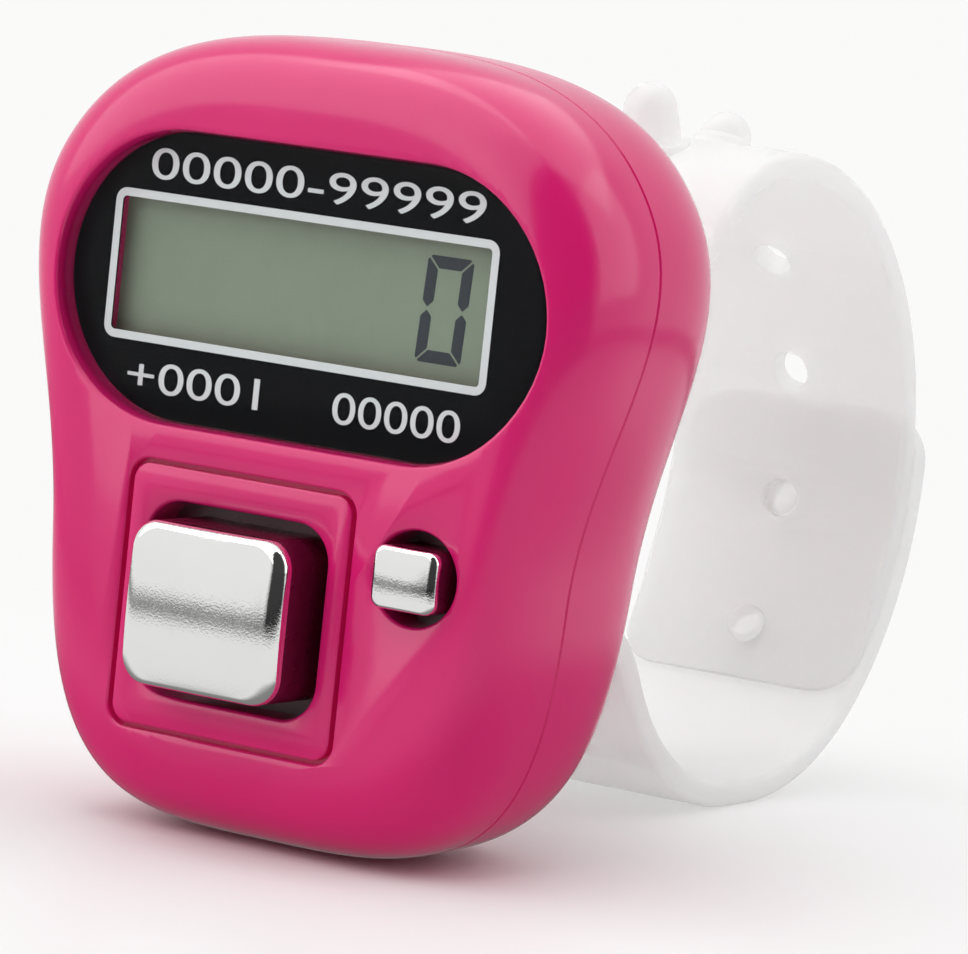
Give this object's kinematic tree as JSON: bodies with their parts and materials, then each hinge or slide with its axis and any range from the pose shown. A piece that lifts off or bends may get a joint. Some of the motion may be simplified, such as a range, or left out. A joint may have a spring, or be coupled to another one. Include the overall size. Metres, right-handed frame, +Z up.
{
  "type": "digital tasbih counter",
  "caption": "Finger-worn digital tally counter: a waisted moulded body with an LCD window, a square count key, a small reset key and an adjustable finger strap.",
  "frame": {"origin": "middle of the bottom of the whole counter, on the surface that it rests on", "axes": "+X to the right across the display, +Y from the face back to the strap, +Z up"},
  "size_m": [0.0358, 0.0607, 0.0416],
  "materials": {
    "pink_shell": "glossy moulded plastic",
    "clear_lens": "clear and glossy",
    "black_print": "glossy black film",
    "display_film": "matt grey-green film",
    "display_glass": "clear",
    "black_plastic": "satin moulded plastic",
    "switch_plastic": "satin moulded plastic",
    "connector_rubber": "soft",
    "board_laminate": "satin",
    "black_resin": "satin",
    "component_body": "satin",
    "plated_key": "mirror plated",
    "cell_steel": "satin",
    "contact_spring": "plated",
    "screw_steel": "satin",
    "pin_steel": "satin",
    "milky_silicone": "translucent, satin"
  },
  "bodies": {
    "housing": {"front_shell": "pink_shell", "rear_shell": "pink_shell", "battery_door": "pink_shell", "display_lens": "clear_lens", "lens_mask": "black_print", "lcd_front_polarizer": "display_film", "lcd_reflector": "display_film", "lcd_front_glass": "display_glass", "lcd_rear_glass": "display_glass", "lcd_holder": "black_plastic", "count_switch_case": "black_plastic", "reset_switch_case": "black_plastic", "elastomer_connector": "connector_rubber", "circuit_board": "board_laminate", "chip_blob": "black_resin", "board_components": "component_body", "battery_cell": "cell_steel", "battery_contact_positive": "contact_spring", "battery_contact_negative": "contact_spring", "battery_door_screw": "screw_steel", "case_screws": "screw_steel", "strap_pin_upper": "pin_steel", "strap_pin_lower": "pin_steel", "strap_upper": "milky_silicone", "strap_lower": "milky_silicone"},
    "count_key": {"count_button": "plated_key", "count_switch_stem": "switch_plastic"},
    "reset_key": {"reset_button": "plated_key", "reset_switch_stem": "switch_plastic"}
  },
  "joints": [
    {"name": "count_press", "type": "slide", "parent": "housing", "child": "count_key", "axis": [0, 1, -0.0095], "range_m": [0, 0.0005], "stiffness_N_per_m": 600, "springref_m": -0.0005},
    {"name": "reset_press", "type": "slide", "parent": "housing", "child": "reset_key", "axis": [0, 1, -0.0095], "range_m": [0, 0.0005], "stiffness_N_per_m": 400, "springref_m": -0.0005}
  ]
}
